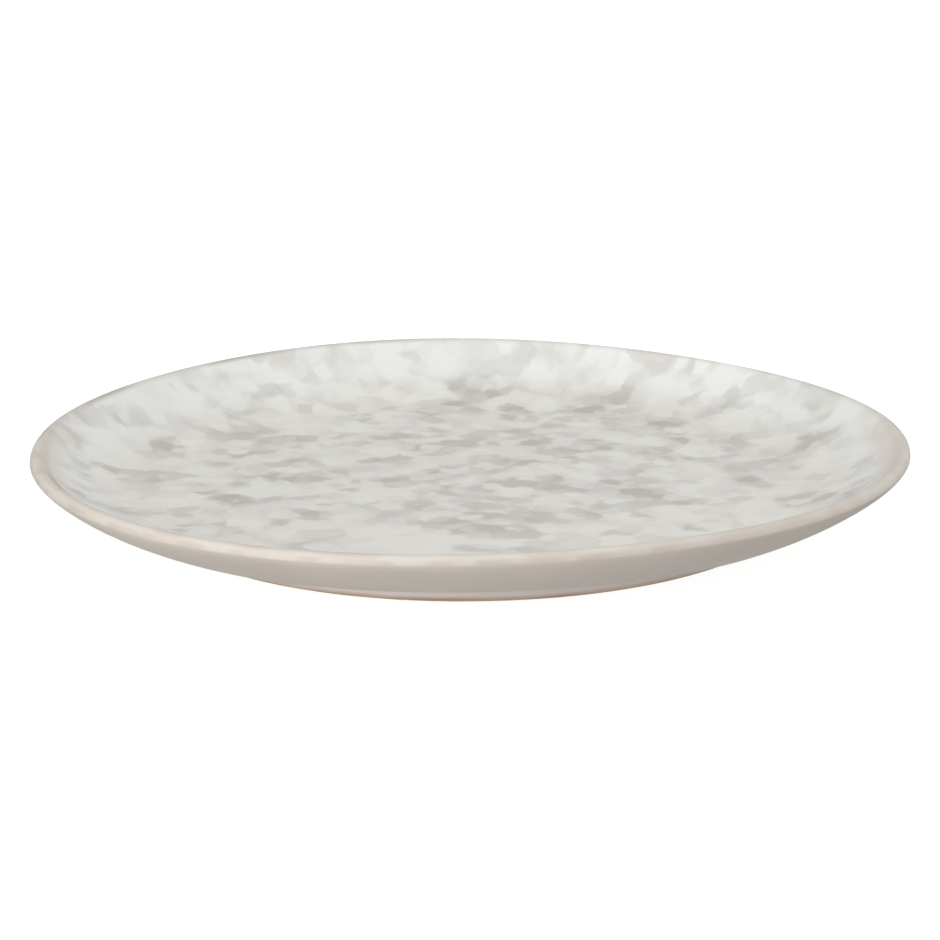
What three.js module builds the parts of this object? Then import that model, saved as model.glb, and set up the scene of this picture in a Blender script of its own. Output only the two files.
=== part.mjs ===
// Stoneware coupe plate: one turned clay body under three fired coats of glaze.
// Millimetres, +Z up. The plate is round about Z and its foot ring stands on z = 0.
import * as THREE from 'three';

// Driving dimensions of the glazed plate.
const PLATE_DIAMETER = 260;
const PLATE_HEIGHT = 23.5;
const LIP_THICKNESS = 4;
const WALL_AT_FOOT = 5.5;
const FOOT_DIAMETER = 188;
const FOOT_HEIGHT = 3.1;
const FOOT_WIDTH = 7.5;
const FOOT_EDGE = 0.5;
const RECESS_HEIGHT = 3.5;
const RECESS_FILLET = 1.2;

// The coat is one thickness all over and is wiped off this far above the table.
const GLAZE_THICKNESS = 0.4;
const WIPED_BAND = 1.1;

// The flank leaves the lip leaning in, bellies out, and meets the foot almost level.
const LIP_LEAN = THREE.MathUtils.degToRad(15);
const FLANK_RISE = THREE.MathUtils.degToRad(2.6);
const FLANK_REACH_AT_LIP = 3;
const FLANK_REACH_AT_FOOT = 18.5;

// Facets round the plate and along each stretch of its outline.
const TURN_STEPS = 56;
const FLANK_STEPS = 5;
const LIP_INSIDE_STEPS = 2;
const LIP_OUTSIDE_STEPS = 2;
const FILLET_STEPS = 2;

// Clay sizes: the glazed size less the coat that lies on it.
const clayLipRadius = LIP_THICKNESS / 2 - GLAZE_THICKNESS;
const clayWallAtFoot = WALL_AT_FOOT - 2 * GLAZE_THICKNESS;
const clayFootRadius = FOOT_DIAMETER / 2 - GLAZE_THICKNESS;
const clayFootTop = FOOT_HEIGHT + GLAZE_THICKNESS;
const clayRecessRadius = clayFootRadius - FOOT_WIDTH;
const clayRecessTop = RECESS_HEIGHT + GLAZE_THICKNESS;
const lipCentre = at((PLATE_DIAMETER - LIP_THICKNESS) / 2, PLATE_HEIGHT - LIP_THICKNESS / 2);
const crestAngle = Math.PI / 2;

const flank = flankCurve();
const facePath = faceOutline();
const outsidePath = outsideOutline();
const footPath = footOutline();
const recessPath = recessOutline();

// A point of the outline: distance from the plate's axis, height above the table.
function at(radius, height) {
  return new THREE.Vector2(radius, height);
}

// A point at an angle and distance from another; angles turn from outward to upward.
function polar(centre, angle, distance) {
  return at(centre.x + distance * Math.cos(angle), centre.y + distance * Math.sin(angle));
}

function arc(centre, radius, fromAngle, toAngle, steps) {
  return Array.from({ length: steps + 1 }, (_, step) => {
    const angle = THREE.MathUtils.lerp(fromAngle, toAngle, step / steps);
    return polar(centre, angle, radius);
  });
}

// Underside of the wall, from the round of the lip in to the top of the foot.
function flankCurve() {
  const top = polar(lipCentre, -LIP_LEAN, clayLipRadius);
  const end = at(clayFootRadius, clayFootTop);
  const belowLip = polar(top, -crestAngle - LIP_LEAN, FLANK_REACH_AT_LIP);
  const beyondFoot = polar(end, FLANK_RISE, FLANK_REACH_AT_FOOT);
  return new THREE.CubicBezierCurve(top, belowLip, beyondFoot, end);
}

// Eating face of the wall: the flank set in by a wall that thickens towards the foot.
function wallPoint(along) {
  const heading = flank.getTangent(along);
  const inward = at(heading.y, -heading.x);
  const wall = THREE.MathUtils.lerp(2 * clayLipRadius, clayWallAtFoot, along);
  return flank.getPoint(along).addScaledVector(inward, wall);
}

// Flat well, rising wall and the inner half of the lip, from the axis to the crest.
function faceOutline() {
  const wall = [];
  for (let step = FLANK_STEPS; step > 0; step -= 1) {
    wall.push(wallPoint(step / FLANK_STEPS));
  }
  const wellCentre = at(0, wall[0].y);
  const lip = arc(lipCentre, clayLipRadius, Math.PI - LIP_LEAN, crestAngle, LIP_INSIDE_STEPS);
  return [wellCentre, ...wall, ...lip];
}

// Outer half of the lip, the flank and the foot's outer wall, from the crest to the wiped band.
function outsideOutline() {
  const lip = arc(lipCentre, clayLipRadius, crestAngle, 0, LIP_OUTSIDE_STEPS);
  const underside = flank.getPoints(FLANK_STEPS);
  return [...lip, ...underside, at(clayFootRadius, WIPED_BAND)];
}

// Bare foot ring between the two wiped edges, with its corners softened.
function footOutline() {
  return [
    at(clayFootRadius, WIPED_BAND),
    at(clayFootRadius, FOOT_EDGE),
    at(clayFootRadius - FOOT_EDGE, 0),
    at(clayRecessRadius + FOOT_EDGE, 0),
    at(clayRecessRadius, FOOT_EDGE),
    at(clayRecessRadius, WIPED_BAND),
  ];
}

// Inner wall of the foot, its fillet and the flat recess, in to the axis.
function recessOutline() {
  const centre = at(clayRecessRadius - RECESS_FILLET, clayRecessTop - RECESS_FILLET);
  const fillet = arc(centre, RECESS_FILLET, 0, crestAngle, FILLET_STEPS);
  return [at(clayRecessRadius, WIPED_BAND), ...fillet, at(0, clayRecessTop)];
}

// Outer surface of a coat on a stretch of clay, with mitred corners and square ends.
function coatOver(clay, startNormal, endNormal) {
  const last = clay.length - 1;
  const normals = clay.slice(1).map((end, index) => {
    const run = end.clone().sub(clay[index]).normalize();
    return at(-run.y, run.x);
  });
  return clay.map((corner, index) => {
    if (index === 0) return corner.clone().addScaledVector(startNormal, GLAZE_THICKNESS);
    if (index === last) return corner.clone().addScaledVector(endNormal, GLAZE_THICKNESS);
    const before = normals[index - 1];
    const after = normals[index];
    const mitre = before.clone().add(after).divideScalar(1 + before.dot(after));
    return corner.clone().addScaledVector(mitre, GLAZE_THICKNESS);
  });
}

// Revolves an outline that runs out over the top and back in underneath.
function turned(name, outline, color, roughness) {
  const geometry = new THREE.LatheGeometry(outline.toReversed(), TURN_STEPS);
  geometry.rotateX(Math.PI / 2);
  const material = new THREE.MeshStandardMaterial({ color, roughness, metalness: 0 });
  const mesh = new THREE.Mesh(geometry, material);
  mesh.name = name;
  return mesh;
}

// Fired clay, from the well round the lip and the foot ring to the recess.
function stonewareBody() {
  const stretches = [outsidePath, footPath, recessPath];
  const outline = [...facePath, ...stretches.flatMap((path) => path.slice(1))];
  return turned('stoneware_body', outline, 0xa28a70, 0.85);
}

// Mottled white coat on the eating face; it ends along the crest of the lip.
function faceGlaze() {
  const up = at(0, 1);
  const outline = [...coatOver(facePath, up, up), ...facePath.toReversed()];
  return turned('face_glaze', outline, 0xd5d2ca, 0.3);
}

// Plain coat that carries on from the crest over the lip and flank to the wiped foot.
function outsideGlaze() {
  const coat = coatOver(outsidePath, at(0, 1), at(1, 0));
  const outline = [...coat, ...outsidePath.toReversed(), coat[0]];
  return turned('outside_glaze', outline, 0xbab2a7, 0.35);
}

// The same plain coat in the recess, cut off from the rest by the bare foot ring.
function recessGlaze() {
  const outline = [...recessPath.toReversed(), ...coatOver(recessPath, at(-1, 0), at(0, -1))];
  return turned('recess_glaze', outline, 0xb5ada4, 0.35);
}

const plate = new THREE.Group();
plate.name = 'plate';
plate.add(stonewareBody(), faceGlaze(), outsideGlaze(), recessGlaze());

export default plate;
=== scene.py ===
# %% [markdown]
# A stoneware plate
#
# The object is a round coupe plate: one piece of fired clay with a flat well, a bellied wall that
# turns up to a round lip, and a low foot ring. Three coats of glaze are melted onto the clay. The
# eating face is mottled white over warm grey, and the outside and the recess under the foot are a
# plain warm grey. Only the foot ring is bare clay.
#
# A plate like this is made on a wheel, so it is modelled the same way here: half of its section is
# drawn with a pen, and the drawing is spun round the axis.

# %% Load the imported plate
import bpy
import math
from mathutils import Matrix, Vector


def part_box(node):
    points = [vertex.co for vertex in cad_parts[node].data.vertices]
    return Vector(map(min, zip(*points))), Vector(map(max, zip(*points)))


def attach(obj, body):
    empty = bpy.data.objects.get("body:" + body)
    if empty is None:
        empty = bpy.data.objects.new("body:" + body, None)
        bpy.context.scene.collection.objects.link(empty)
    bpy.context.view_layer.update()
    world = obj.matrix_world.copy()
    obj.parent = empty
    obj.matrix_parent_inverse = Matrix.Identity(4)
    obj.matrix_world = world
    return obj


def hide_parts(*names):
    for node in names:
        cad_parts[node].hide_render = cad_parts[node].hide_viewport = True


MM = 0.001


def in_mm(length):
    """A length in metres as millimetres, for printing."""
    return round(length / MM, 2)


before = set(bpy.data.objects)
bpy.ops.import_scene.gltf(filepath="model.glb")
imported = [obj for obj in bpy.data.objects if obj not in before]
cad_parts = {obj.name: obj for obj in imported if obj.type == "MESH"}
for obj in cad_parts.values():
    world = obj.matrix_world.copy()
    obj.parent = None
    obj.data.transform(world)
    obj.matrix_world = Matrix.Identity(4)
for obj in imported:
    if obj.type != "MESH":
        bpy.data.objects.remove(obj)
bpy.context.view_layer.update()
print("CAD pieces:", sorted(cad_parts))

# %% [markdown]
# The sizes come from the imported pieces. The face coat tells how high the well and the crest of the
# lip are, the outside coat how wide the plate is, and the recess coat how wide the foot is inside.
# A few values are added from the photograph: the kiln let this plate's rim sink a little, its
# lip is slightly taller than it is wide, and the foot has a crisp corner where it meets the flank.

# %% Sizes in metres
face_low, face_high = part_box("face_glaze")
outside_low, outside_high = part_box("outside_glaze")
_, recess_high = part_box("recess_glaze")
_, clay_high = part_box("stoneware_body")

GLAZE = face_high.z - clay_high.z
PLATE_RADIUS = outside_high.x
WELL_HEIGHT = face_low.z + GLAZE
WELL_RADIUS = 93.4 * MM
CREST_RADIUS = face_high.x
RIM_SINK = 0.73 * MM
CREST_HEIGHT = face_high.z - RIM_SINK
LIP_HALF_WIDTH = PLATE_RADIUS - CREST_RADIUS
LIP_RISE = 2.36 * MM
LIP_MIDDLE = CREST_HEIGHT - LIP_RISE
FOOT_RADIUS = 94.0 * MM
FOOT_TOP = 3.1 * MM
FOOT_BORE = recess_high.x - GLAZE
FOOT_EDGE = 0.5 * MM
RECESS_CEILING = recess_high.z - GLAZE
RECESS_FILLET = 0.8 * MM
WIPED_HEIGHT = outside_low.z - 0.5 * MM
GLAZE_BEAD = 0.45 * MM

print("plate", in_mm(2 * PLATE_RADIUS), "mm across, glaze", in_mm(GLAZE), "mm thick")
print("well at", in_mm(WELL_HEIGHT), "mm, crest at", in_mm(CREST_HEIGHT), "mm")

# %% [markdown]
# A pen point has a place and two handles, as in any drawing program. The lip is an oval, so the
# handles of its points are worked out to follow the oval: a handle that is four thirds of the tangent
# of a quarter of the arc keeps to a circle of radius 1, and the oval stretches it. Every run of points
# takes a depth: 0 draws the surface of the glaze, and the thickness of the glaze draws the clay under
# it. That way each coat sits exactly on the clay, with nothing overlapping.


# %% Pen points
def pen(radius, height, before=(0, 0), after=(0, 0)):
    """A pen point: distance from the axis, height, and the reach of its two handles."""
    return (radius, height), before, after


def reach(heading, length):
    """A handle of that length along a heading in degrees, 0 outwards and 90 up."""
    angle = math.radians(heading)
    return length * math.cos(angle), length * math.sin(angle)


def backwards(points):
    """The same run of pen points, drawn from its end to its start."""
    return [(place, after, before) for place, before, after in reversed(points)]


def on_lip(angle, sweep_before, sweep_after, depth):
    """A pen point on the oval of the lip; the sweeps are the arcs on either side of it."""
    turn = math.radians(angle)
    width = LIP_HALF_WIDTH - depth
    rise = LIP_RISE - depth
    heading = (width * math.sin(turn), -rise * math.cos(turn))
    pull_before = -4 / 3 * math.tan(math.radians(sweep_before) / 4)
    pull_after = 4 / 3 * math.tan(math.radians(sweep_after) / 4)
    return pen(
        CREST_RADIUS + width * math.cos(turn),
        LIP_MIDDLE + rise * math.sin(turn),
        (pull_before * heading[0], pull_before * heading[1]),
        (pull_after * heading[0], pull_after * heading[1]),
    )


print("a 10 mm handle at 40 degrees reaches", [round(part, 1) for part in reach(40, 10)], "mm")

# %% [markdown]
# The half-section has four runs, each a handful of points, because the handles do the curving. The
# first is the face. It runs level across the well, curves up the wall and rolls over the inner half of
# the lip. Angles on the lip are counted from its outermost point, so the crest is at 90 degrees.

# %% Face of the section
LIP_INSIDE = 125
LIP_CREST = 90
WALL_SLOPE = 40
WALL_PULL = 10 * MM
WELL_EDGE_SLOPE = 2.6
WELL_EDGE_PULL = 16 * MM


def face_run(depth):
    """Well, wall and inner half of the lip, from the axis out to the crest."""
    inside, _, after = on_lip(LIP_INSIDE, 0, LIP_INSIDE - LIP_CREST, depth)
    return [
        pen(0, WELL_HEIGHT - depth),
        pen(WELL_RADIUS, WELL_HEIGHT - depth, after=reach(WELL_EDGE_SLOPE, WELL_EDGE_PULL)),
        (inside, reach(WALL_SLOPE + 180, WALL_PULL), after),
        on_lip(LIP_CREST, LIP_INSIDE - LIP_CREST, 0, depth),
    ]


print("pen points on the face:", len(face_run(0)))

# %% [markdown]
# The second run is the flank. It starts at the same crest, rolls over the outer half of the lip,
# breaks at a soft corner and bellies in to the foot.

# %% Flank of the section
LIP_SIDE = 0
FLANK_SLOPE = 242
FLANK_PULL = 3.3 * MM
FLANK_SLOPE_AT_FOOT = 2.75
FLANK_PULL_AT_FOOT = 16.4 * MM
CORNER_INSET = 0.26 * MM
CORNER_DROP = 0.64 * MM
CORNER_PULL = 0.25 * MM


def flank_run(depth):
    """Outer half of the lip, the corner under it and the flank, from the crest to the foot."""
    side, before, _ = on_lip(LIP_SIDE, LIP_CREST - LIP_SIDE, 0, depth)
    set_in = depth * math.sqrt(0.5)
    corner = (PLATE_RADIUS - CORNER_INSET - set_in, LIP_MIDDLE - CORNER_DROP + set_in)
    return [
        on_lip(LIP_CREST, 0, LIP_CREST - LIP_SIDE, depth),
        (side, before, (0, -CORNER_PULL)),
        (corner, reach(FLANK_SLOPE + 180, CORNER_PULL), reach(FLANK_SLOPE, FLANK_PULL)),
        pen(
            FOOT_RADIUS - depth,
            FOOT_TOP + depth,
            before=reach(FLANK_SLOPE_AT_FOOT, FLANK_PULL_AT_FOOT),
        ),
    ]


print("pen points on the flank:", len(flank_run(0)))

# %% [markdown]
# The foot is a short square ring with rounded edges, and the recess is the flat ceiling inside it. A
# handle of 0.55 times the radius makes a good quarter circle. The glaze on both sides of the foot ends
# in a rolled bead, which is drawn here too.

# %% Foot and recess of the section
QUARTER_PULL = 0.55
BEAD_PULL = 0.6


def foot_run():
    """Bare clay of the foot ring, from one wiped edge of the glaze to the other."""
    outer = FOOT_RADIUS - GLAZE
    inner = FOOT_BORE + GLAZE
    pull = QUARTER_PULL * FOOT_EDGE
    return [
        pen(outer, WIPED_HEIGHT),
        pen(outer, FOOT_EDGE, after=(0, -pull)),
        pen(outer - FOOT_EDGE, 0, before=(pull, 0)),
        pen(inner + FOOT_EDGE, 0, after=(-pull, 0)),
        pen(inner, FOOT_EDGE, before=(0, -pull)),
        pen(inner, WIPED_HEIGHT),
    ]


def recess_run(depth):
    """Inner wall of the foot, its fillet and the flat recess, in to the axis."""
    wall = FOOT_BORE + depth
    ceiling = RECESS_CEILING + depth
    fillet = RECESS_FILLET + depth
    pull = QUARTER_PULL * fillet
    return [
        pen(wall, ceiling - fillet, after=(0, pull)),
        pen(wall - fillet, ceiling, before=(pull, 0)),
        pen(0, ceiling),
    ]


def bead(side):
    """Rolled lower edge of a coat where it was wiped off; side is 1 outside the foot, -1 inside."""
    surface = FOOT_RADIUS if side > 0 else FOOT_BORE
    clay = surface - side * GLAZE
    return [
        pen(surface, WIPED_HEIGHT + GLAZE_BEAD, after=(0, -BEAD_PULL * GLAZE_BEAD)),
        pen(clay, WIPED_HEIGHT, before=(side * BEAD_PULL * GLAZE, 0)),
    ]


print("pen points on the foot:", len(foot_run()), "and in the recess:", len(recess_run(0)))

# %% [markdown]
# Next come the moves of the workshop. The pen draws the outline as a Bezier curve, which is then
# turned into a line of edges, and the wheel spins that line once round the axis. Spin leaves a seam
# where it starts and ends, and a pile of points on the axis, so doubles are merged before the
# normals are set to point out.

# %% Pen and wheel
OUTLINE_STEPS = 16
TURN_STEPS = 240
WELD = 0.002 * MM


def draw_outline(name, points, closed=False):
    """Draws pen points as a curve in the XZ plane and makes it a line of edges."""
    bpy.ops.object.select_all(action="DESELECT")
    bpy.ops.curve.primitive_bezier_curve_add()
    outline = bpy.context.object
    outline.name = name
    outline.data.name = name
    outline.data.resolution_u = OUTLINE_STEPS
    spline = outline.data.splines[0]
    spline.bezier_points.add(len(points) - len(spline.bezier_points))
    spline.use_cyclic_u = closed
    for point, (place, before, after) in zip(spline.bezier_points, points):
        point.handle_left_type = "FREE"
        point.handle_right_type = "FREE"
        point.co = (place[0], 0, place[1])
        point.handle_left = (place[0] + before[0], 0, place[1] + before[1])
        point.handle_right = (place[0] + after[0], 0, place[1] + after[1])
    bpy.ops.object.convert(target="MESH")
    return bpy.context.object


def spin_on_wheel(outline):
    """Spins a half-section once round Z and closes its seam and its poles."""
    bpy.ops.object.mode_set(mode="EDIT")
    bpy.ops.mesh.select_all(action="SELECT")
    bpy.ops.mesh.spin(steps=TURN_STEPS, angle=2 * math.pi, center=(0, 0, 0), axis=(0, 0, 1))
    bpy.ops.mesh.select_all(action="SELECT")
    bpy.ops.mesh.remove_doubles(threshold=WELD)
    bpy.ops.mesh.normals_make_consistent(inside=False)
    bpy.ops.object.mode_set(mode="OBJECT")
    return outline


print("each outline is spun in", TURN_STEPS, "steps of", 360 / TURN_STEPS, "degrees")

# %% [markdown]
# A turned plate is trimmed by hand while the clay is leather-hard. On this one the tool cut the flank
# about a millimetre higher over the front of the foot, so more of the foot's wall shows there. Before
# anything moves, each point notes the height that it had on the wheel, because the glaze later
# changes tone along the lip and the foot and not along a level line.

# %% Trimming
THROWN_HEIGHT = "thrown_height"
TRIM_RISE = 1.05 * MM
TRIM_HEADING = math.radians(-86)
TRIM_FULL = math.radians(17)
TRIM_GONE = math.radians(38)
TRIM_FOOT = (1.5 * MM, FOOT_TOP)
TRIM_FLANK = (8.0 * MM, 5.0 * MM)


def eased(value, start, end):
    """0 at start, 1 at end and a smooth way between them."""
    along = min(max((value - start) / (end - start), 0), 1)
    return along * along * (3 - 2 * along)


def note_height(piece):
    """Stores the height of every point as it left the wheel."""
    heights = piece.data.attributes.new(THROWN_HEIGHT, "FLOAT", "POINT")
    for vertex, note in zip(piece.data.vertices, heights.data):
        note.value = vertex.co.z
    return piece


def trim_flank(piece):
    """Cuts the flank a little higher over the front of the foot, as a hand-held tool leaves it."""
    for vertex in piece.data.vertices:
        x, y, z = vertex.co
        if math.hypot(x, y) < FOOT_RADIUS - 2 * GLAZE:
            continue
        aside = abs(math.remainder(math.atan2(y, x) - TRIM_HEADING, 2 * math.pi))
        share = eased(aside, TRIM_GONE, TRIM_FULL) * eased(z, *TRIM_FOOT) * eased(z, *TRIM_FLANK)
        vertex.co.z = z + TRIM_RISE * share
    return piece


print("the flank is trimmed", in_mm(TRIM_RISE), "mm higher at the front")

# %% [markdown]
# Real clay moves in the kiln. The rim of this plate came out with a slow wave of about a millimetre,
# two high and two low places, while its foot stayed flat. All pieces follow the same wave, so the
# coats stay on the clay. Two finer waves keep the rim from being a perfect circle. A wave is written
# as how many go round the plate, how far it moves the clay, and by how much it is turned.

# %% Kiln
CREASE_ANGLE = math.radians(40)
KILN_START = FOOT_RADIUS
KILN_WAVES = (
    (2, 1.095 * MM, math.radians(223.4)),
    (3, 0.145 * MM, math.radians(293.4)),
    (4, 0.253 * MM, math.radians(41.8)),
)
RIM_WAVES = (
    (5, 0.04 * MM, 1.0),
    (9, 0.024 * MM, 2.2),
)


def fire_in_kiln(piece):
    """Lets the wall move as one in the firing: a slow wave that grows from the foot to the rim."""
    for vertex in piece.data.vertices:
        x, y, z = vertex.co
        radius = math.hypot(x, y)
        if radius <= KILN_START:
            continue
        share = eased(radius, KILN_START, PLATE_RADIUS)
        around = math.atan2(y, x)
        wander = sum(width * math.sin(count * around + turn) for count, width, turn in RIM_WAVES)
        lift = sum(height * math.cos(count * around - turn) for count, height, turn in KILN_WAVES)
        stretch = 1 + share * wander / radius
        vertex.co = (x * stretch, y * stretch, z + share * lift)
    bpy.ops.object.shade_smooth_by_angle(angle=CREASE_ANGLE)
    return piece


def turn_piece(name, points, closed=False):
    """One finished piece of the plate: drawn, spun, trimmed and fired."""
    thrown = spin_on_wheel(draw_outline(name, points, closed))
    piece = fire_in_kiln(trim_flank(note_height(thrown)))
    sides = [in_mm(side) for side in piece.dimensions]
    print(name, "is", sides, "mm and has", len(piece.data.polygons), "faces")
    return piece


print("kiln waves in mm:", [in_mm(height) for _, height, _ in KILN_WAVES])

# %% [markdown]
# The clay body is the plate itself. Its outline runs from the axis over the well, wall and lip, down
# the flank, round the bare foot ring and back in along the recess. It is drawn one coat deep.

# %% The clay body
body = turn_piece(
    "clay_body",
    face_run(GLAZE) + flank_run(GLAZE)[1:] + foot_run() + recess_run(GLAZE),
)

# %% [markdown]
# Each coat of glaze is a thin closed shell: out along the glaze and back along the clay. The face
# coat ends on the crest of the lip, where the outside coat takes over. The lower edges of the
# outside coat and the recess coat are rolled, because the foot was wiped clean before the firing.

# %% The three coats of glaze
face_coat = turn_piece("face_coat", face_run(0) + backwards(face_run(GLAZE)))

outside_coat = turn_piece(
    "outside_coat",
    flank_run(0) + bead(1) + backwards(flank_run(GLAZE)),
    closed=True,
)

recess_coat = turn_piece(
    "recess_coat",
    backwards(recess_run(GLAZE)) + backwards(bead(-1)) + recess_run(0),
)

# %% [markdown]
# Nothing wiped by hand is straight. The lower edges of the two coats wander up and down by a few
# tenths of a millimetre round the foot, so the band of bare clay is never quite even.

# %% The hand-wiped edge
WIPE_WAVES = (
    (3, 0.2 * MM, 0),
    (7, 0.1 * MM, 1),
    (19, 0.07 * MM, 2),
    (43, 0.05 * MM, 3),
)
WIPE_FADE = 1.6 * MM
WIPE_MARGIN = 1.0 * MM
OUTSIDE_PHASE = 0.4
RECESS_PHASE = 1.9


def wipe_edge(coat, phase):
    """Moves the lower edge of a coat up and down along the foot, fading out above it."""
    for vertex in coat.data.vertices:
        x, y, z = vertex.co
        above = z - WIPED_HEIGHT
        on_foot = FOOT_BORE - WIPE_MARGIN < math.hypot(x, y) < FOOT_RADIUS + WIPE_MARGIN
        if above > WIPE_FADE or not on_foot:
            continue
        around = math.atan2(y, x)
        wander = sum(
            height * math.sin(count * around + times * phase) for count, height, times in WIPE_WAVES
        )
        vertex.co.z = z + wander * (1 - above / WIPE_FADE)


wipe_edge(outside_coat, OUTSIDE_PHASE)
wipe_edge(recess_coat, RECESS_PHASE)
print("wiped edges wander by", in_mm(sum(height for _, height, _ in WIPE_WAVES)), "mm at most")

# %% [markdown]
# Materials come next. Colours are written as sRGB hex, as a colour picker gives them, and one
# function turns them to the linear values that the renderer works in. Another small function adds a
# node, sets it up, links it and hands back one of its outputs, so a material reads as a recipe. All
# patterns use Object coordinates, which are metres here, so a noise that repeats every 12 mm has a
# scale of a thousand over twelve.

# %% Colour and node helpers
PER_MM = 1000.0
SMOOTH = {"interpolation_type": "SMOOTHSTEP"}
MIX_COLOUR = {"data_type": "RGBA", "out": 2}


def linear(hex_colour):
    """A linear RGBA colour from an sRGB hex string."""
    parts = [int(hex_colour[start:start + 2], 16) / 255 for start in (0, 2, 4)]
    bent = [part / 12.92 if part <= 0.04045 else ((part + 0.055) / 1.055) ** 2.4 for part in parts]
    return (*bent, 1.0)


def add_node(tree, kind, inputs=None, out=0, **settings):
    """Adds a node; an input is a value or a socket to link from. Hands back one output socket."""
    node = tree.nodes.new(kind)
    for name, value in settings.items():
        setattr(node, name, value)
    for socket, value in (inputs or {}).items():
        if isinstance(value, bpy.types.NodeSocket):
            tree.links.new(value, node.inputs[socket])
        else:
            node.inputs[socket].default_value = value
    return node.outputs[out]


def new_material(name):
    """An empty node material, its tree, its shader and the plate's own coordinates."""
    material = bpy.data.materials.new(name)
    material.use_nodes = True
    tree = material.node_tree
    shader = tree.nodes["Principled BSDF"]
    place = add_node(tree, "ShaderNodeTexCoord", out="Object")
    return material, tree, shader, place


print("mid grey in linear values:", [round(part, 3) for part in linear("808080")[:3]])

# %% [markdown]
# Two patterns are enough for all the glazes. A dab is the high ground of a smooth noise: where the
# noise stands above a waterline, the dab shows. A patch is a cell of a Voronoi pattern with a tone of
# its own. Its edges melt a little, and the coordinates under it are pushed about by a fine noise, so
# the patch gets the scalloped outline of glaze that ran in the kiln. Both are measured in millimetres.

# %% Dabs and patches of glaze
SOFT_DETAIL = 0.7
FINE_DETAIL = 1.0
NOISE_MIDDLE = (0.5, 0.5, 0.5)
CRINKLE_WIDTH = 4
CRINKLE = 3.2 * MM
MELT = 0.45


def dabs(tree, place, across, line, soft, strength, drift):
    """A mask of soft dabs from a noise of that width in mm, moved along by a drift."""
    shifted = add_node(tree, "ShaderNodeMapping", {"Vector": place, "Location": drift})
    noise = add_node(
        tree, "ShaderNodeTexNoise",
        {"Vector": shifted, "Scale": PER_MM / across, "Detail": SOFT_DETAIL}, out="Fac",
    )
    return add_node(
        tree, "ShaderNodeMapRange",
        {"Value": noise, "From Min": line - soft, "From Max": line + soft, "To Max": strength},
        **SMOOTH,
    )


def patches(tree, place, across):
    """A random tone from 0 to 1 for each patch of that width in mm, with a crinkled, melted edge."""
    noise = add_node(
        tree, "ShaderNodeTexNoise",
        {"Vector": place, "Scale": PER_MM / CRINKLE_WIDTH, "Detail": FINE_DETAIL}, out="Color",
    )
    centred = add_node(
        tree, "ShaderNodeVectorMath", {0: noise, 1: NOISE_MIDDLE}, operation="SUBTRACT",
    )
    crinkled = add_node(
        tree, "ShaderNodeVectorMath",
        {0: centred, 1: (CRINKLE, CRINKLE, CRINKLE), 2: place}, operation="MULTIPLY_ADD",
    )
    cells = add_node(
        tree, "ShaderNodeTexVoronoi",
        {"Vector": crinkled, "Scale": PER_MM / across, "Smoothness": MELT}, out="Color",
        feature="SMOOTH_F1",
    )
    return add_node(tree, "ShaderNodeSeparateColor", {0: cells}, out="Red")


def round_the_axis(tree, place):
    """Each point seen from above, its distance from the plate's axis, and its heading from there."""
    plan = add_node(tree, "ShaderNodeVectorMath", {0: place, 1: (1, 1, 0)}, operation="MULTIPLY")
    radius = add_node(tree, "ShaderNodeVectorMath", {0: plan}, operation="LENGTH", out="Value")
    heading = add_node(tree, "ShaderNodeVectorMath", {0: plan}, operation="NORMALIZE")
    return plan, radius, heading


print("patches are crinkled by up to", in_mm(CRINKLE / 2), "mm either way")

# %% [markdown]
# Glaze runs away from a sharp edge. Just inside the crest of the lip it is thinnest, and the grey
# under it shows as a broken line. The plate was dipped at a tilt, so that line lies further in at the
# near left and further out at the back. The tilt is put into the radius that the lip's tones go by.

# %% The tilted dip
NEAR_LEFT = (-0.82, -0.57, 0.0)
NEAR_LEFT_SPREAD = (0.75, 0.95)
SET_IN = 1.6 * MM
BACK_SPREAD = (-0.1, 0.3)
SET_OUT = 1.4 * MM


def tilted_radius(tree, radius, heading):
    """The radius as the tilted dip sees it: larger at the near left, smaller at the back."""
    to_left = add_node(
        tree, "ShaderNodeVectorMath", {0: heading, 1: NEAR_LEFT}, operation="DOT_PRODUCT", out="Value",
    )
    to_back = add_node(tree, "ShaderNodeSeparateXYZ", {0: heading}, out="Y")
    set_in = add_node(
        tree, "ShaderNodeMapRange",
        {"Value": to_left, "From Min": NEAR_LEFT_SPREAD[0], "From Max": NEAR_LEFT_SPREAD[1],
         "To Max": SET_IN}, **SMOOTH,
    )
    set_out = add_node(
        tree, "ShaderNodeMapRange",
        {"Value": to_back, "From Min": BACK_SPREAD[0], "From Max": BACK_SPREAD[1],
         "To Max": SET_OUT}, **SMOOTH,
    )
    shift = add_node(tree, "ShaderNodeMath", {0: set_in, 1: set_out}, operation="SUBTRACT")
    return add_node(tree, "ShaderNodeMath", {0: radius, 1: shift}, operation="ADD")


print("the tilt moves the line in by", in_mm(SET_IN), "and out by", in_mm(SET_OUT), "mm")

# %% [markdown]
# Outside the broken line the lip is cream, with pale and rosy dabs. Over the left and the front the
# cream is painted lighter near the crest and darker down the side: painted light on the top of the
# lip and painted shade on its side. At the right this painted shading is left out, and the cream is
# one even tone from top to bottom.

# %% Cream of the lip
# The side cream carries painted shade and the top cream carries painted light.
LIP_SIDE_CREAM_SHADED = "b1aaa1"
LIP_TOP_CREAM_LIT = "c9c3ba"
LIP_PALE = "c5c1ba"
LIP_ROSE = "beb1a7"
CREAM_LIGHT_HEIGHTS = (LIP_MIDDLE + 0.9 * MM, LIP_MIDDLE + 2.5 * MM)
EVEN_LIGHT_SHARE = 0.68
EVEN_LIGHT_SIDE = (0.4, 0.62)
PALE_DABS = {"across": 8, "line": 0.52, "soft": 0.1, "strength": 0.5, "drift": (0.6, 0.2, 0.8)}
ROSY_DABS = {"across": 13, "line": 0.54, "soft": 0.1, "strength": 0.55, "drift": (0.1, 0.7, 0.5)}


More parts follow.
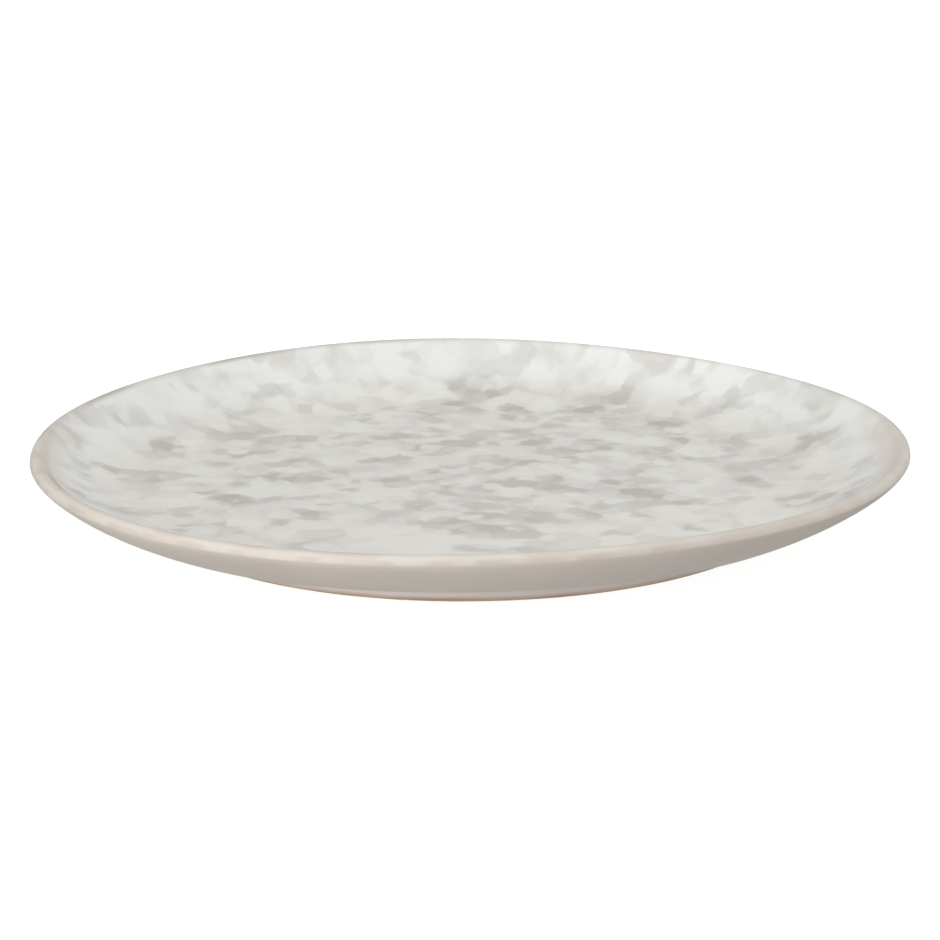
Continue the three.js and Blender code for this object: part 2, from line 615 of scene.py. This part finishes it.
def shaded_creams(tree, place, to_right, height):
    """Cream of the lip: painted light near the crest, painted shade down the side, even at the right."""
    # rise is the painted light growing towards the crest; even turns the painted shading off at the
    # right.
    rise = add_node(
        tree, "ShaderNodeMapRange",
        {"Value": height, "From Min": CREAM_LIGHT_HEIGHTS[0], "From Max": CREAM_LIGHT_HEIGHTS[1]}, **SMOOTH,
    )
    even = add_node(
        tree, "ShaderNodeMapRange",
        {"Value": to_right, "From Min": EVEN_LIGHT_SIDE[0], "From Max": EVEN_LIGHT_SIDE[1]}, **SMOOTH,
    )
    shade = add_node(tree, "ShaderNodeMix", {0: even, 2: rise, 3: EVEN_LIGHT_SHARE})
    pale = dabs(tree, place, **PALE_DABS)
    rosy = dabs(tree, place, **ROSY_DABS)
    cream = add_node(
        tree, "ShaderNodeMix",
        {0: shade, 6: linear(LIP_SIDE_CREAM_SHADED), 7: linear(LIP_TOP_CREAM_LIT)}, **MIX_COLOUR,
    )
    cream = add_node(tree, "ShaderNodeMix", {0: pale, 6: cream, 7: linear(LIP_PALE)}, **MIX_COLOUR)
    return add_node(tree, "ShaderNodeMix", {0: rosy, 6: cream, 7: linear(LIP_ROSE)}, **MIX_COLOUR)


print("the cream is palest from", in_mm(CREAM_LIGHT_HEIGHTS[1]), "mm above the table")

# %% [markdown]
# Now the line and the cream are laid over a coat. Slow dabs break the line up, and to the right it
# fades. The cream ends in a ragged edge where the flank begins. Both coats that meet on the crest get
# these tones from the same recipe, so no seam shows between them.

# %% Tones of the lip
LIP_BREAK = "aca59b"
BREAK_STARTS = (CREST_RADIUS - 3.6 * MM, CREST_RADIUS - 1.8 * MM)
BREAK_LEAST = 0.3
BREAK_FADES = (-0.5, 0.3)
BREAK_DABS = {
    "across": 30, "line": 0.46, "soft": 0.12, "strength": 1 - BREAK_LEAST, "drift": (0.2, 0.9, 0.4),
}
CREAM_STARTS = (CREST_RADIUS - 0.6 * MM, CREST_RADIUS + 0.4 * MM)
CREAM_ENDS = (LIP_MIDDLE - 0.3 * MM, LIP_MIDDLE + 0.7 * MM)
CREAM_RAGGED = 0.7 * MM
RAGGED_WIDTH = 9


def lip_tones(tree, place, radius, heading, colour):
    """Lays the broken grey line and the cream of the lip over a coat's own colour."""
    height = add_node(tree, "ShaderNodeAttribute", attribute_name=THROWN_HEIGHT, out="Fac")
    flecks = add_node(
        tree, "ShaderNodeTexNoise",
        {"Vector": place, "Scale": PER_MM / RAGGED_WIDTH, "Detail": FINE_DETAIL}, out="Fac",
    )
    ragged = add_node(
        tree, "ShaderNodeMath", {0: flecks, 1: CREAM_RAGGED, 2: height}, operation="MULTIPLY_ADD",
    )
    above_flank = add_node(
        tree, "ShaderNodeMapRange",
        {"Value": ragged, "From Min": CREAM_ENDS[0], "From Max": CREAM_ENDS[1]}, **SMOOTH,
    )
    dipped = tilted_radius(tree, radius, heading)
    near_crest = add_node(
        tree, "ShaderNodeMapRange",
        {"Value": dipped, "From Min": BREAK_STARTS[0], "From Max": BREAK_STARTS[1]}, **SMOOTH,
    )
    past_crest = add_node(
        tree, "ShaderNodeMapRange",
        {"Value": dipped, "From Min": CREAM_STARTS[0], "From Max": CREAM_STARTS[1]}, **SMOOTH,
    )
    to_right = add_node(tree, "ShaderNodeSeparateXYZ", {0: heading}, out="X")
    one_side = add_node(
        tree, "ShaderNodeMapRange",
        {"Value": to_right, "From Min": BREAK_FADES[0], "From Max": BREAK_FADES[1],
         "To Min": 1.0, "To Max": BREAK_LEAST},
    )
    broken = dabs(tree, place, **BREAK_DABS)
    broken = add_node(tree, "ShaderNodeMath", {0: broken, 1: BREAK_LEAST}, operation="ADD")
    broken = add_node(tree, "ShaderNodeMath", {0: broken, 1: one_side}, operation="MULTIPLY")
    line = add_node(tree, "ShaderNodeMath", {0: near_crest, 1: broken}, operation="MULTIPLY")
    line = add_node(tree, "ShaderNodeMath", {0: line, 1: above_flank}, operation="MULTIPLY")
    outside = add_node(tree, "ShaderNodeMath", {0: past_crest, 1: above_flank}, operation="MULTIPLY")
    colour = add_node(tree, "ShaderNodeMix", {0: line, 6: colour, 7: linear(LIP_BREAK)}, **MIX_COLOUR)
    cream = shaded_creams(tree, place, to_right, ragged)
    return add_node(tree, "ShaderNodeMix", {0: outside, 6: colour, 7: cream}, **MIX_COLOUR)


print("the cream turns to grey", in_mm(CREAM_ENDS[0]), "mm above the table")

# %% [markdown]
# All the glazes share one surface. It is satin, so its gloss is broad and a little uneven, and it
# carries slow ripples of a few hundredths of a millimetre that only show where light grazes it.

# %% Satin surface
SATIN_ROUGHNESS = (0.48, 0.58)
RIPPLE_WIDTH = 7
RIPPLE_DETAIL = 2.0
RIPPLE_SPAN = (0.35, 0.65)
RIPPLE_HEIGHT = 0.05 * MM
GLAZE_IOR = 1.5


def satin_surface(tree, shader, place, colour):
    """Satin gloss with slow ripples, which blur a reflection without breaking it up."""
    ripple = add_node(
        tree, "ShaderNodeTexNoise",
        {"Vector": place, "Scale": PER_MM / RIPPLE_WIDTH, "Detail": RIPPLE_DETAIL}, out="Fac",
    )
    gloss = add_node(
        tree, "ShaderNodeMapRange",
        {"Value": ripple, "From Min": RIPPLE_SPAN[0], "From Max": RIPPLE_SPAN[1],
         "To Min": SATIN_ROUGHNESS[0], "To Max": SATIN_ROUGHNESS[1]},
    )
    bump = add_node(
        tree, "ShaderNodeBump", {"Height": ripple, "Distance": RIPPLE_HEIGHT}, out="Normal",
    )
    tree.links.new(colour, shader.inputs["Base Color"])
    tree.links.new(gloss, shader.inputs["Roughness"])
    tree.links.new(bump, shader.inputs["Normal"])
    shader.inputs["IOR"].default_value = GLAZE_IOR


print("glaze roughness from", SATIN_ROUGHNESS[0], "to", SATIN_ROUGHNESS[1])

# %% [markdown]
# Now the face, a satin reactive glaze. White was dabbed over a warm grey coat from above, and the two
# ran into each other in the kiln. The patches come in two sizes and their tones are added up: the
# lowest sums show the warm grey, the highest are the lightest.

# %% Patches of the face
LIGHT_GLAZE = "d6d5cf"
FIELD_GLAZE = "cdcbc6"
GREY_GLAZE = "aeaca7"
WARM_GLAZE = "b2aea8"
LARGE_PATCH = 12
SMALL_PATCH = 6
LIGHT_TONES = (1.0, 1.6)
GREY_TONES = (1.0, 0.2)


def mottle(tree, plan):
    """Soft patches of light, plain and grey glaze, and the tone that they were made from."""
    large = patches(tree, plan, LARGE_PATCH)
    small = patches(tree, plan, SMALL_PATCH)
    tone = add_node(tree, "ShaderNodeMath", {0: large, 1: small}, operation="ADD")
    light = add_node(
        tree, "ShaderNodeMapRange",
        {"Value": tone, "From Min": LIGHT_TONES[0], "From Max": LIGHT_TONES[1]},
    )
    grey = add_node(
        tree, "ShaderNodeMapRange",
        {"Value": tone, "From Min": GREY_TONES[0], "From Max": GREY_TONES[1]},
    )
    greys = add_node(
        tree, "ShaderNodeMix", {0: large, 6: linear(WARM_GLAZE), 7: linear(GREY_GLAZE)}, **MIX_COLOUR,
    )
    colour = add_node(
        tree, "ShaderNodeMix", {0: light, 6: linear(FIELD_GLAZE), 7: linear(LIGHT_GLAZE)}, **MIX_COLOUR,
    )
    colour = add_node(tree, "ShaderNodeMix", {0: grey, 6: colour, 7: greys}, **MIX_COLOUR)
    return colour, tone


print("patches on the face are", LARGE_PATCH, "and", SMALL_PATCH, "mm wide")

# %% [markdown]
# Up the wall the white lies thicker and hides most of the grey, though less so at the two ends of the
# plate. The plate was held at the back when it was dipped, so a second, creamier layer lies over the
# front in a wide off-centre arc. The darkest patches still come through both.

# %% White on the wall and the front
WHITE_GLAZE = "dadbd8"
DIP_GLAZE = "dad8d2"
WHITE_THICKENS = (106 * MM, 118 * MM)
DIP_CENTRE = (0, 53 * MM, 0)
DIP_STARTS = (99 * MM, 116 * MM)
DIP_STRENGTH = 0.75
WHITE_TONES = (0.25, 1.15)
WHITE_LEAST = 0.45
WHITE_ENDS = (0.6, 0.97)
WHITE_AT_ENDS = 0.6


def whitened(tree, plan, radius, sideways, colour, tone):
    """Thick white up the wall and over the front, which lets the darkest patches through."""
    thick = add_node(
        tree, "ShaderNodeMapRange",
        {"Value": radius, "From Min": WHITE_THICKENS[0], "From Max": WHITE_THICKENS[1]}, **SMOOTH,
    )
    from_dip = add_node(
        tree, "ShaderNodeVectorMath", {0: plan, 1: DIP_CENTRE}, operation="DISTANCE", out="Value",
    )
    second = add_node(
        tree, "ShaderNodeMapRange",
        {"Value": from_dip, "From Min": DIP_STARTS[0], "From Max": DIP_STARTS[1],
         "To Max": DIP_STRENGTH}, **SMOOTH,
    )
    second = add_node(
        tree, "ShaderNodeMath", {0: second, 1: thick}, operation="SUBTRACT", use_clamp=True,
    )
    cover = add_node(
        tree, "ShaderNodeMapRange",
        {"Value": tone, "From Min": WHITE_TONES[0], "From Max": WHITE_TONES[1], "To Min": WHITE_LEAST},
    )
    kept = add_node(
        tree, "ShaderNodeMapRange",
        {"Value": sideways, "From Min": WHITE_ENDS[0], "From Max": WHITE_ENDS[1],
         "To Min": 1.0, "To Max": WHITE_AT_ENDS}, **SMOOTH,
    )
    layer = add_node(tree, "ShaderNodeMath", {0: cover, 1: kept}, operation="MULTIPLY")
    front = add_node(tree, "ShaderNodeMath", {0: second, 1: layer}, operation="MULTIPLY")
    white = add_node(tree, "ShaderNodeMath", {0: thick, 1: layer}, operation="MULTIPLY")
    colour = add_node(tree, "ShaderNodeMix", {0: front, 6: colour, 7: linear(DIP_GLAZE)}, **MIX_COLOUR)
    return add_node(tree, "ShaderNodeMix", {0: white, 6: colour, 7: linear(WHITE_GLAZE)}, **MIX_COLOUR)


print("the white thickens from a radius of", in_mm(WHITE_THICKENS[0]), "mm")

# %% [markdown]
# Close to the crest the white ran back down and left blunt tongues of grey that hang from the lip. At
# both ends the coat is thin just inside the lip, and the clay warms it to beige. The thin zones lean a
# little to the front, because of the tilt of the dip.

# %% Tongues and thin ends
TONGUE_GLAZE = "cac8c3"
THIN_GLAZE = "cbc3ba"
TONGUE_WIDTH = 10
TONGUE_TONES = (0.6, 0.82)
TONGUE_STRENGTH = 0.85
TONGUES_START = (119 * MM, 125 * MM)
THIN_STARTS = (118 * MM, 125 * MM)
THIN_LEAN = -0.42
THIN_SPREAD = (0.85, 1.05)
THIN_STRENGTH = 0.85


def thinned(tree, plan, radius, heading, sideways, colour):
    """Tongues of grey that hang from the lip, and the beige of the thin coat at both ends."""
    lobes = patches(tree, plan, TONGUE_WIDTH)
    lobes = add_node(
        tree, "ShaderNodeMapRange",
        {"Value": lobes, "From Min": TONGUE_TONES[0], "From Max": TONGUE_TONES[1],
         "To Max": TONGUE_STRENGTH}, **SMOOTH,
    )
    near_lip = add_node(
        tree, "ShaderNodeMapRange",
        {"Value": radius, "From Min": TONGUES_START[0], "From Max": TONGUES_START[1]}, **SMOOTH,
    )
    tongues = add_node(tree, "ShaderNodeMath", {0: lobes, 1: near_lip}, operation="MULTIPLY")
    colour = add_node(
        tree, "ShaderNodeMix", {0: tongues, 6: colour, 7: linear(TONGUE_GLAZE)}, **MIX_COLOUR,
    )
    to_back = add_node(tree, "ShaderNodeSeparateXYZ", {0: heading}, out="Y")
    endwise = add_node(
        tree, "ShaderNodeMath", {0: to_back, 1: THIN_LEAN, 2: sideways}, operation="MULTIPLY_ADD",
    )
    at_ends = add_node(
        tree, "ShaderNodeMapRange",
        {"Value": endwise, "From Min": THIN_SPREAD[0], "From Max": THIN_SPREAD[1],
         "To Max": THIN_STRENGTH}, **SMOOTH,
    )
    thin_rim = add_node(
        tree, "ShaderNodeMapRange",
        {"Value": radius, "From Min": THIN_STARTS[0], "From Max": THIN_STARTS[1]}, **SMOOTH,
    )
    thin = add_node(tree, "ShaderNodeMath", {0: at_ends, 1: thin_rim}, operation="MULTIPLY")
    return add_node(tree, "ShaderNodeMix", {0: thin, 6: colour, 7: linear(THIN_GLAZE)}, **MIX_COLOUR)


print("tongues hang from the lip in to a radius of", in_mm(TONGUES_START[0]), "mm")

# %% [markdown]
# The steps of the face follow each other as they did in the workshop: patches, white, tongues, and
# the tones of the lip last.


# %% Mottled face glaze
def mottled_glaze():
    """Satin reactive glaze: thick white breaking over warm grey, gently uneven to the light."""
    material, tree, shader, place = new_material("mottled_reactive_glaze")
    plan, radius, heading = round_the_axis(tree, place)
    to_right = add_node(tree, "ShaderNodeSeparateXYZ", {0: heading}, out="X")
    sideways = add_node(tree, "ShaderNodeMath", {0: to_right}, operation="ABSOLUTE")
    colour, tone = mottle(tree, plan)
    colour = whitened(tree, plan, radius, sideways, colour, tone)
    colour = thinned(tree, plan, radius, heading, sideways, colour)
    satin_surface(tree, shader, place, lip_tones(tree, place, radius, heading, colour))
    print(material.name, "has", len(tree.nodes), "nodes")
    return material


face_coat.data.materials.append(mottled_glaze())

# %% [markdown]
# The outside and the recess wear one plain coat of the grey glaze. Sprayed glaze is never quite even,
# so slow clouds lighten and darken it by a few percent. On the outside coat the flank is painted darker
# where it turns in to the foot, a painted shade of that corner. On the foot's wall it is thin and looks
# cooler, and where it was wiped the clay tints the last millimetre.

# %% Plain outside glaze
PLAIN_GLAZE = "bcb3a8"
PLAIN_CLOUD = "b6ada5"
FOOT_TINT = "c1b7b2"
# Painted shade: the flank is darkened where it turns in to the foot, on the outside coat only.
CORNER_SHADE_TINT = "a79d93"
EDGE_TINT = "af9e90"
FOOT_TINT_FADES = (FOOT_TOP - 0.3 * MM, FOOT_TOP + 0.1 * MM)
CORNER_SHADE_FADES = (FOOT_TOP + 0.6 * MM, FOOT_TOP + 1.6 * MM)
EDGE_TINT_FADES = (1.0 * MM, 1.7 * MM)
CORNER_SHADED = 0.6
CORNER_UNSHADED = 0.0
CLOUDS = {"across": 26, "line": 0.5, "soft": 0.2, "strength": 1.0, "drift": (0.5, 0.5, 0.1)}


def plain_glaze(name, corner_shade):
    """Satin warm-grey glaze: cloudy flank, cream lip, thin foot, painted shade at the foot's corner."""
    material, tree, shader, place = new_material(name)
    _, radius, heading = round_the_axis(tree, place)
    height = add_node(tree, "ShaderNodeAttribute", attribute_name=THROWN_HEIGHT, out="Fac")
    clouds = dabs(tree, place, **CLOUDS)
    corner_shade_mask = add_node(
        tree, "ShaderNodeMapRange",
        {"Value": height, "From Min": CORNER_SHADE_FADES[1], "From Max": CORNER_SHADE_FADES[0], "To Max": corner_shade},
        **SMOOTH,
    )
    foot = add_node(
        tree, "ShaderNodeMapRange",
        {"Value": height, "From Min": FOOT_TINT_FADES[1], "From Max": FOOT_TINT_FADES[0]}, **SMOOTH,
    )
    edge = add_node(
        tree, "ShaderNodeMapRange",
        {"Value": height, "From Min": EDGE_TINT_FADES[1], "From Max": EDGE_TINT_FADES[0]}, **SMOOTH,
    )
    colour = add_node(
        tree, "ShaderNodeMix", {0: clouds, 6: linear(PLAIN_GLAZE), 7: linear(PLAIN_CLOUD)}, **MIX_COLOUR,
    )
    # Painted shade of the corner between the flank and the foot.
    colour = add_node(tree, "ShaderNodeMix", {0: corner_shade_mask, 6: colour, 7: linear(CORNER_SHADE_TINT)}, **MIX_COLOUR)
    colour = add_node(tree, "ShaderNodeMix", {0: foot, 6: colour, 7: linear(FOOT_TINT)}, **MIX_COLOUR)
    colour = add_node(tree, "ShaderNodeMix", {0: edge, 6: colour, 7: linear(EDGE_TINT)}, **MIX_COLOUR)
    satin_surface(tree, shader, place, lip_tones(tree, place, radius, heading, colour))
    print(material.name, "has", len(tree.nodes), "nodes")
    return material


outside_coat.data.materials.append(plain_glaze("plain_satin_glaze", CORNER_SHADED))
recess_coat.data.materials.append(plain_glaze("recess_satin_glaze", CORNER_UNSHADED))

# %% [markdown]
# The foot ring is the clay itself, fired to stoneware: tan, matt and gritty to the touch. The grit
# is about half a millimetre, just large enough to show in a close view.

# %% Bare clay
CLAY_DARK = "897460"
CLAY_LIGHT = "a5917b"
GRIT = 0.6
GRIT_DETAIL = 3.0
GRIT_SPAN = (0.3, 0.7)
GRIT_HEIGHT = 0.04 * MM
CLAY_ROUGHNESS = (0.78, 0.92)
WARM_DABS = {"across": 11, "line": 0.5, "soft": 0.15, "strength": 0.4, "drift": (0, 0, 0)}
SPECKLE_FULL = 0.4


def bare_clay():
    """Fired stoneware, whose dry gritty skin scatters light and has no gloss."""
    material, tree, shader, place = new_material("bare_stoneware")
    grain = add_node(
        tree, "ShaderNodeTexNoise",
        {"Vector": place, "Scale": PER_MM / GRIT, "Detail": GRIT_DETAIL}, out="Fac",
    )
    warmth = dabs(tree, place, **WARM_DABS)
    speckle = add_node(tree, "ShaderNodeMath", {0: grain, 1: warmth}, operation="MULTIPLY")
    tone = add_node(tree, "ShaderNodeMapRange", {"Value": speckle, "From Max": SPECKLE_FULL})
    colour = add_node(
        tree, "ShaderNodeMix", {0: tone, 6: linear(CLAY_LIGHT), 7: linear(CLAY_DARK)}, **MIX_COLOUR,
    )
    dryness = add_node(
        tree, "ShaderNodeMapRange",
        {"Value": grain, "From Min": GRIT_SPAN[0], "From Max": GRIT_SPAN[1],
         "To Min": CLAY_ROUGHNESS[0], "To Max": CLAY_ROUGHNESS[1]},
    )
    bump = add_node(
        tree, "ShaderNodeBump", {"Height": grain, "Distance": GRIT_HEIGHT}, out="Normal",
    )
    tree.links.new(colour, shader.inputs["Base Color"])
    tree.links.new(dryness, shader.inputs["Roughness"])
    tree.links.new(bump, shader.inputs["Normal"])
    print(material.name, "has", len(tree.nodes), "nodes")
    return material


body.data.materials.append(bare_clay())

# %% [markdown]
# The plate has no moving parts, so all four pieces ride on the one body. Each stands for the CAD
# piece that it replaces, which is hidden.

# %% Hand the pieces over
for piece, node, finish in (
    (body, "stoneware_body", "fired_clay"),
    (face_coat, "face_glaze", "mottled_glaze"),
    (outside_coat, "outside_glaze", "plain_glaze"),
    (recess_coat, "recess_glaze", "recess_glaze"),
):
    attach(piece, "root")
    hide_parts(node)
    print(piece.name, "replaces", node)

# %% [markdown]
# The plate is seen on pure white, as on a light table, with no shadow. The table glows just enough
# to look white and is hidden from the plate's own light, so it doesn't burn out the flank. From
# below it is clear, so the underside can be looked at too.

# %% Light table
TABLE_SIZE = 8.0
TABLE_GREY = "808080"
TABLE_ROUGHNESS = 0.9
TABLE_GLOW = 0.9
PURE_WHITE = "ffffff"

bpy.ops.object.select_all(action="DESELECT")
bpy.ops.mesh.primitive_plane_add(size=TABLE_SIZE)
table = bpy.context.object
table.name = "light_table"
table.visible_diffuse = False
table.visible_glossy = False
table.visible_shadow = False

table_top = bpy.data.materials.new("light_table_white")
table_top.use_nodes = True
table_tree = table_top.node_tree
top_shader = table_tree.nodes["Principled BSDF"]
top_shader.inputs["Base Color"].default_value = linear(TABLE_GREY)
top_shader.inputs["Roughness"].default_value = TABLE_ROUGHNESS
top_shader.inputs["Emission Color"].default_value = linear(PURE_WHITE)
top_shader.inputs["Emission Strength"].default_value = TABLE_GLOW
from_below = add_node(table_tree, "ShaderNodeNewGeometry", out="Backfacing")
clear = add_node(table_tree, "ShaderNodeBsdfTransparent")
seen = add_node(
    table_tree, "ShaderNodeMixShader", {0: from_below, 1: top_shader.outputs[0], 2: clear},
)
table_tree.links.new(seen, table_tree.nodes["Material Output"].inputs["Surface"])
table.data.materials.append(table_top)
print("light table", TABLE_SIZE, "m wide")

# %% [markdown]
# The light is a soft white room. It is a sum of broad glows, each with a heading, a sharpness and a
# strength, like large sheets of silk hung round the table.

# %% Soft light
GLOWS = (
    ((0, 0, 1), 2, 0.16),
    ((-0.6, -0.6, 0.55), 4, 2.76),
    ((0.6, 0.6, 0.55), 4, 1.19),
    ((1, 0, 0.1), 4, 1.27),
    ((0, -1, 0.15), 4, 0.68),
    ((0, 1, 0.15), 4, 0.23),
    ((0, 0, -1), 2, 0.45),
    ((-0.52, -0.68, -0.4), 4, 1.55),
    ((-0.1, 0.9, -0.45), 4, 0.35),
)
ROOM_GLOW = 0.01

world = bpy.data.worlds.new("studio")
world.use_nodes = True
studio = world.node_tree
outwards = add_node(studio, "ShaderNodeTexCoord", out="Generated")
total = ROOM_GLOW
for heading, sharpness, strength in GLOWS:
    facing = add_node(
        studio, "ShaderNodeVectorMath",
        {0: outwards, 1: Vector(heading).normalized()}, operation="DOT_PRODUCT", out="Value",
    )
    lit = add_node(studio, "ShaderNodeMath", {0: facing, 1: 0.0}, operation="MAXIMUM")
    glow = add_node(studio, "ShaderNodeMath", {0: lit, 1: sharpness}, operation="POWER")
    total = add_node(
        studio, "ShaderNodeMath", {0: glow, 1: strength, 2: total}, operation="MULTIPLY_ADD",
    )
background = studio.nodes["Background"]
background.inputs["Color"].default_value = linear(PURE_WHITE)
studio.links.new(total, background.inputs["Strength"])
bpy.context.scene.world = world
print("the room has", len(GLOWS), "glows")

# %% [markdown]
# The camera stands about a metre away and looks down at the plate by fifteen degrees. Its distance,
# tilt and roll were found by matching the rim and the foot to the photograph, whose frame is a square
# of 940 pixels. The lens follows from the focal length in pixels.

# %% Camera
VIEW_DISTANCE = 0.950
VIEW_TILT = math.radians(14.895)
VIEW_ROLL = math.radians(-0.414)
AIM = Vector((0, 0, 12.1 * MM))
IMAGE_SIDE = 940
FOCAL_PIXELS = 3183.1
SENSOR_WIDTH = 36

eye = bpy.data.cameras.new("camera")
eye.sensor_width = SENSOR_WIDTH
eye.lens = FOCAL_PIXELS / IMAGE_SIDE * SENSOR_WIDTH
camera = bpy.data.objects.new("camera", eye)
bpy.context.scene.collection.objects.link(camera)
camera.location = AIM + VIEW_DISTANCE * Vector((0, -math.cos(VIEW_TILT), math.sin(VIEW_TILT)))
look = Matrix.Rotation(math.pi / 2 - VIEW_TILT, 4, "X") @ Matrix.Rotation(VIEW_ROLL, 4, "Z")
camera.rotation_euler = look.to_euler()
bpy.context.scene.camera = camera
bpy.context.scene.view_settings.view_transform = "Standard"
print(f"lens {eye.lens:.1f} mm")
